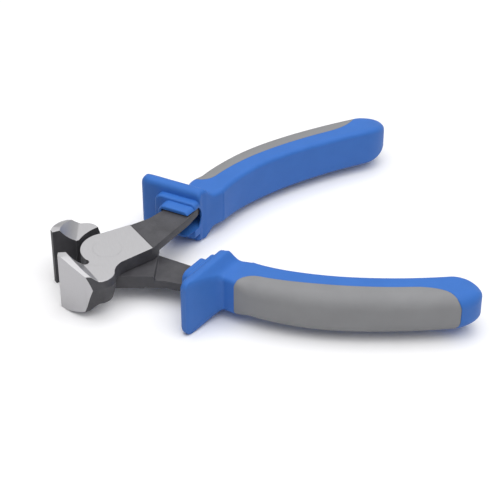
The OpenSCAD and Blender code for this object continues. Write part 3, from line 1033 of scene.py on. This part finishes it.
class EdgeMarks:
    """Geometry node groups that mark a lever's edges: those that are broken, and those that stay crisp."""

    # Length in mm behind the plate's end over which the weight of an edge rises to the shank's
    rise = 1.0

    def __init__(self) -> None:
        """Builds both groups."""
        self.broken = self._marks(
            "broken_edges", "bevel_weight_edge", "FLOAT", least_angle=50.0, clear_r=7.0, head_share=0.3
        )
        self.crisp = self._marks(
            "crisp_edges", "sharp_edge", "BOOLEAN", least_angle=35.0, clear_r=0.0, head_share=1.0
        )

    def _marks(
        self, name: str, attribute: str, kind: str, least_angle: float, clear_r: float, head_share: float
    ) -> bpy.types.NodeTree:
        """Builds a group that writes an edge attribute.

        Args:
            name: Name of the group.
            attribute: Name of the edge attribute that it writes.
            kind: Data type of the attribute.
            least_angle: Angle in degrees between two faces above which their edge is marked.
            clear_r: Distance in mm from the pivot axis within which no edge is marked.
            head_share: Weight of the edges ahead of the shank, whose own edges have 1.

        Returns:
            The group.
        """
        tree = bpy.data.node_groups.new(name, "GeometryNodeTree")
        for way in ("INPUT", "OUTPUT"):
            tree.interface.new_socket("Geometry", in_out=way, socket_type="NodeSocketGeometry")
        graph = Graph(tree)
        given, out = graph.add("NodeGroupInput"), graph.add("NodeGroupOutput")
        angle = graph.add("GeometryNodeInputMeshEdgeAngle").outputs[0]
        place = graph.add("GeometryNodeInputPosition").outputs[0]
        plan = graph.vector_math("MULTIPLY", place, (1.0, 1.0, 0.0)).outputs[0]
        reach = graph.vector_math("LENGTH", plan).outputs["Value"]
        folded = graph.math("GREATER_THAN", angle, math.radians(least_angle))
        marked = graph.math("MULTIPLY", folded, graph.math("GREATER_THAN", reach, clear_r * MM))
        end = Tool.plate_end
        along = graph.split(place).outputs["X"]
        weight = graph.span(along, end * MM, (end + self.rise) * MM, head_share, 1.0)
        store = graph.add("GeometryNodeStoreNamedAttribute", data_type=kind, domain="EDGE")
        graph.feed(store, Geometry=given.outputs[0], Name=attribute)
        graph.feed(store, Value=graph.math("MULTIPLY", marked, weight))
        graph.feed(out, Geometry=store.outputs[0])
        return tree


@dataclass
class Lever:
    """Forged lever of one half: its CAD node with softened edges and its finish."""

    half: Half
    # Width in mm that a broken edge takes from each face, and its number of facets
    edge_w: float = 0.7
    edge_facets: int = 2
    # Distance in mm within which points are joined, and angle in degrees under which faces are one
    weld_gap: float = 0.002
    flat_angle: float = 0.4
    # Weight of large faces against small ones in the shading, where 50 is even
    face_weight: int = 90

    def dress(self, finishes: Finishes, marks: EdgeMarks) -> None:
        """Softens the edges and sets the material.

        Args:
            finishes: The materials of the tool.
            marks: Node groups that mark its edges.
        """
        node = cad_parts[f"{self.half.value}_lever"]
        weld = node.modifiers.new("weld", "WELD")
        weld.merge_threshold = self.weld_gap * MM
        flat = node.modifiers.new("flat faces", "DECIMATE")
        flat.decimate_type = "DISSOLVE"
        flat.angle_limit = math.radians(self.flat_angle)
        node.modifiers.new("mark broken edges", "NODES").node_group = marks.broken
        bevel = node.modifiers.new("broken edges", "BEVEL")
        bevel.width = self.edge_w * MM
        bevel.segments = self.edge_facets
        bevel.limit_method = "WEIGHT"
        bevel.use_clamp_overlap = False
        node.modifiers.new("mark crisp edges", "NODES").node_group = marks.crisp
        even = node.modifiers.new("even faces", "WEIGHTED_NORMAL")
        even.weight = self.face_weight
        even.keep_sharp = True
        node.data.shade_smooth()
        node.data.materials.clear()
        node.data.materials.append(finishes.levers[self.half])
        LOG.info("%s dressed", node.name)


class Rivet:
    """Flush rivet: its CAD node with the ground finish of the joint's face."""

    def dress(self, finishes: Finishes) -> None:
        """Sets the material.

        Args:
            finishes: The materials of the tool.
        """
        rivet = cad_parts["pivot_rivet"]
        rivet.data.materials.clear()
        rivet.data.materials.append(finishes.levers[Half.UPPER])
        rivet.data.shade_smooth()
        LOG.info("%s dressed", rivet.name)


@dataclass(frozen=True)
class Camera:
    """Camera at the photograph's viewing angle, with angles in degrees and lengths in mm."""

    azimuth: float = -14.25
    elevation: float = 36.42
    distance: float = 646.7
    target: Point = (53.53, -6.79, 5.65)
    focal_px: float = 1700.0
    image_px: float = 500.0
    sensor: float = 36.0
    nearest: float = 10.0
    farthest: float = 20000.0

    def build(self) -> None:
        """Makes the camera and sets it as the scene's."""
        a, e = math.radians(self.azimuth), math.radians(self.elevation)
        back = Vector((math.sin(a) * math.cos(e), -math.cos(a) * math.cos(e), math.sin(e)))
        data = bpy.data.cameras.new("camera")
        data.sensor_width = self.sensor
        data.lens = self.sensor * self.focal_px / self.image_px
        data.clip_start = self.nearest * MM
        data.clip_end = self.farthest * MM
        made = bpy.data.objects.new("camera", data)
        made.location = Vector(self.target) * MM + back * self.distance * MM
        made.rotation_mode = "QUATERNION"
        made.rotation_quaternion = (-back).to_track_quat("-Z", "Y")
        bpy.context.scene.collection.objects.link(made)
        bpy.context.scene.camera = made


@dataclass(frozen=True)
class Stage:
    """Pale floor, a soft light and a white surround."""

    # Height of the floor in mm, and the length of its sides in metres
    floor_z: float = Tool.half_joint - Tool.half_edge
    floor_size: float = 6.0
    floor_colour: Colour = (0.80, 0.797, 0.805)
    # Brightness of the floor as the camera sees it, against the light that it throws on the tool
    floor_gain: float = 1.25
    # Distances in metres from the pivot over which the floor runs out into white for the camera
    floor_fade: Span = (0.25, 0.7)
    # Strength of the surround as light, and in gloss at the horizon and overhead
    fill: float = 0.29
    gloss_low: float = 0.5
    gloss_high: float = 1.5
    # Heights of a direction between which the gloss rises
    gloss_span: Span = (0.2, 0.95)
    # Soft box: its power, its width, its place and the point that it faces, in watts and metres
    key_power: float = 15.2
    key_size: float = 1.5
    key_place: Point = (0.12, -0.16, 1.0)
    key_aim: Point = (0.05, 0.0, 0.0)

    def build(self) -> None:
        """Makes the floor, the light and the world."""
        self._floor()
        self._key()
        self._world()

    def _floor(self) -> None:
        """Lays the floor that the tool rests on."""
        s, z = self.floor_size / 2, self.floor_z * MM
        floor = new_mesh_object("floor", [(-s, -s, z), (s, -s, z), (s, s, z), (-s, s, z)], [[0, 1, 2, 3]])
        made, graph = new_material("pale_floor")
        bright = tuple(self.floor_gain * c for c in self.floor_colour)
        from_camera = graph.add("LightPath").outputs["Is Camera Ray"]
        colour = graph.mix(from_camera, self.floor_colour, bright)
        diffuse = graph.feed(graph.add("BsdfDiffuse"), Color=colour)
        white = graph.feed(graph.add("Emission"), Color=WHITE, Strength=1.0)
        place = graph.add("TexCoord").outputs["Object"]
        reach = graph.vector_math("LENGTH", place).outputs["Value"]
        away = graph.math("MULTIPLY", graph.span(reach, *self.floor_fade, smooth=True), from_camera)
        both = graph.feed(graph.add("MixShader"), i0=away, i1=diffuse.outputs[0], i2=white.outputs[0])
        graph.feed(graph.add("OutputMaterial"), Surface=both.outputs[0])
        floor.data.materials.append(made)

    def _key(self) -> None:
        """Hangs the soft box above the tool, hidden in gloss, where the bright surround stands for it."""
        data = bpy.data.lights.new("soft_box", "AREA")
        data.energy = self.key_power
        data.size = self.key_size
        made = bpy.data.objects.new("soft_box", data)
        made.location = self.key_place
        made.visible_glossy = False
        aim = Vector(self.key_aim) - Vector(self.key_place)
        made.rotation_mode = "QUATERNION"
        made.rotation_quaternion = aim.to_track_quat("-Z", "Y")
        bpy.context.scene.collection.objects.link(made)

    def _world(self) -> None:
        """Sets the soft fill light, which is brighter overhead in gloss and white for the camera."""
        world = bpy.data.worlds.new("surround")
        bpy.context.scene.world = world
        world.use_nodes = True
        graph = Graph(world.node_tree)
        height = graph.split(graph.add("TexCoord").outputs["Generated"]).outputs["Z"]
        gloss = graph.span(height, *self.gloss_span, self.gloss_low, self.gloss_high)
        path = graph.add("LightPath")
        mirrored = graph.mix_value(path.outputs["Is Glossy Ray"], self.fill, gloss)
        strength = graph.mix_value(path.outputs["Is Camera Ray"], mirrored, 1.0)
        light = graph.feed(graph.add("Background"), Color=WHITE, Strength=strength)
        graph.feed(graph.add("OutputWorld"), Surface=light.outputs[0])


def main() -> None:
    """Builds the scene in order."""
    logging.basicConfig(level=logging.INFO, format="%(name)s: %(message)s")
    bpy.context.scene.view_settings.view_transform = "Standard"
    Camera().build()
    finishes = Finishes()
    marks = EdgeMarks()
    for half in Half:
        Lever(half).dress(finishes, marks)
        Handle(half).build(finishes)
    Rivet().dress(finishes)
    Stage().build()


if __name__ == "__main__":
    main()
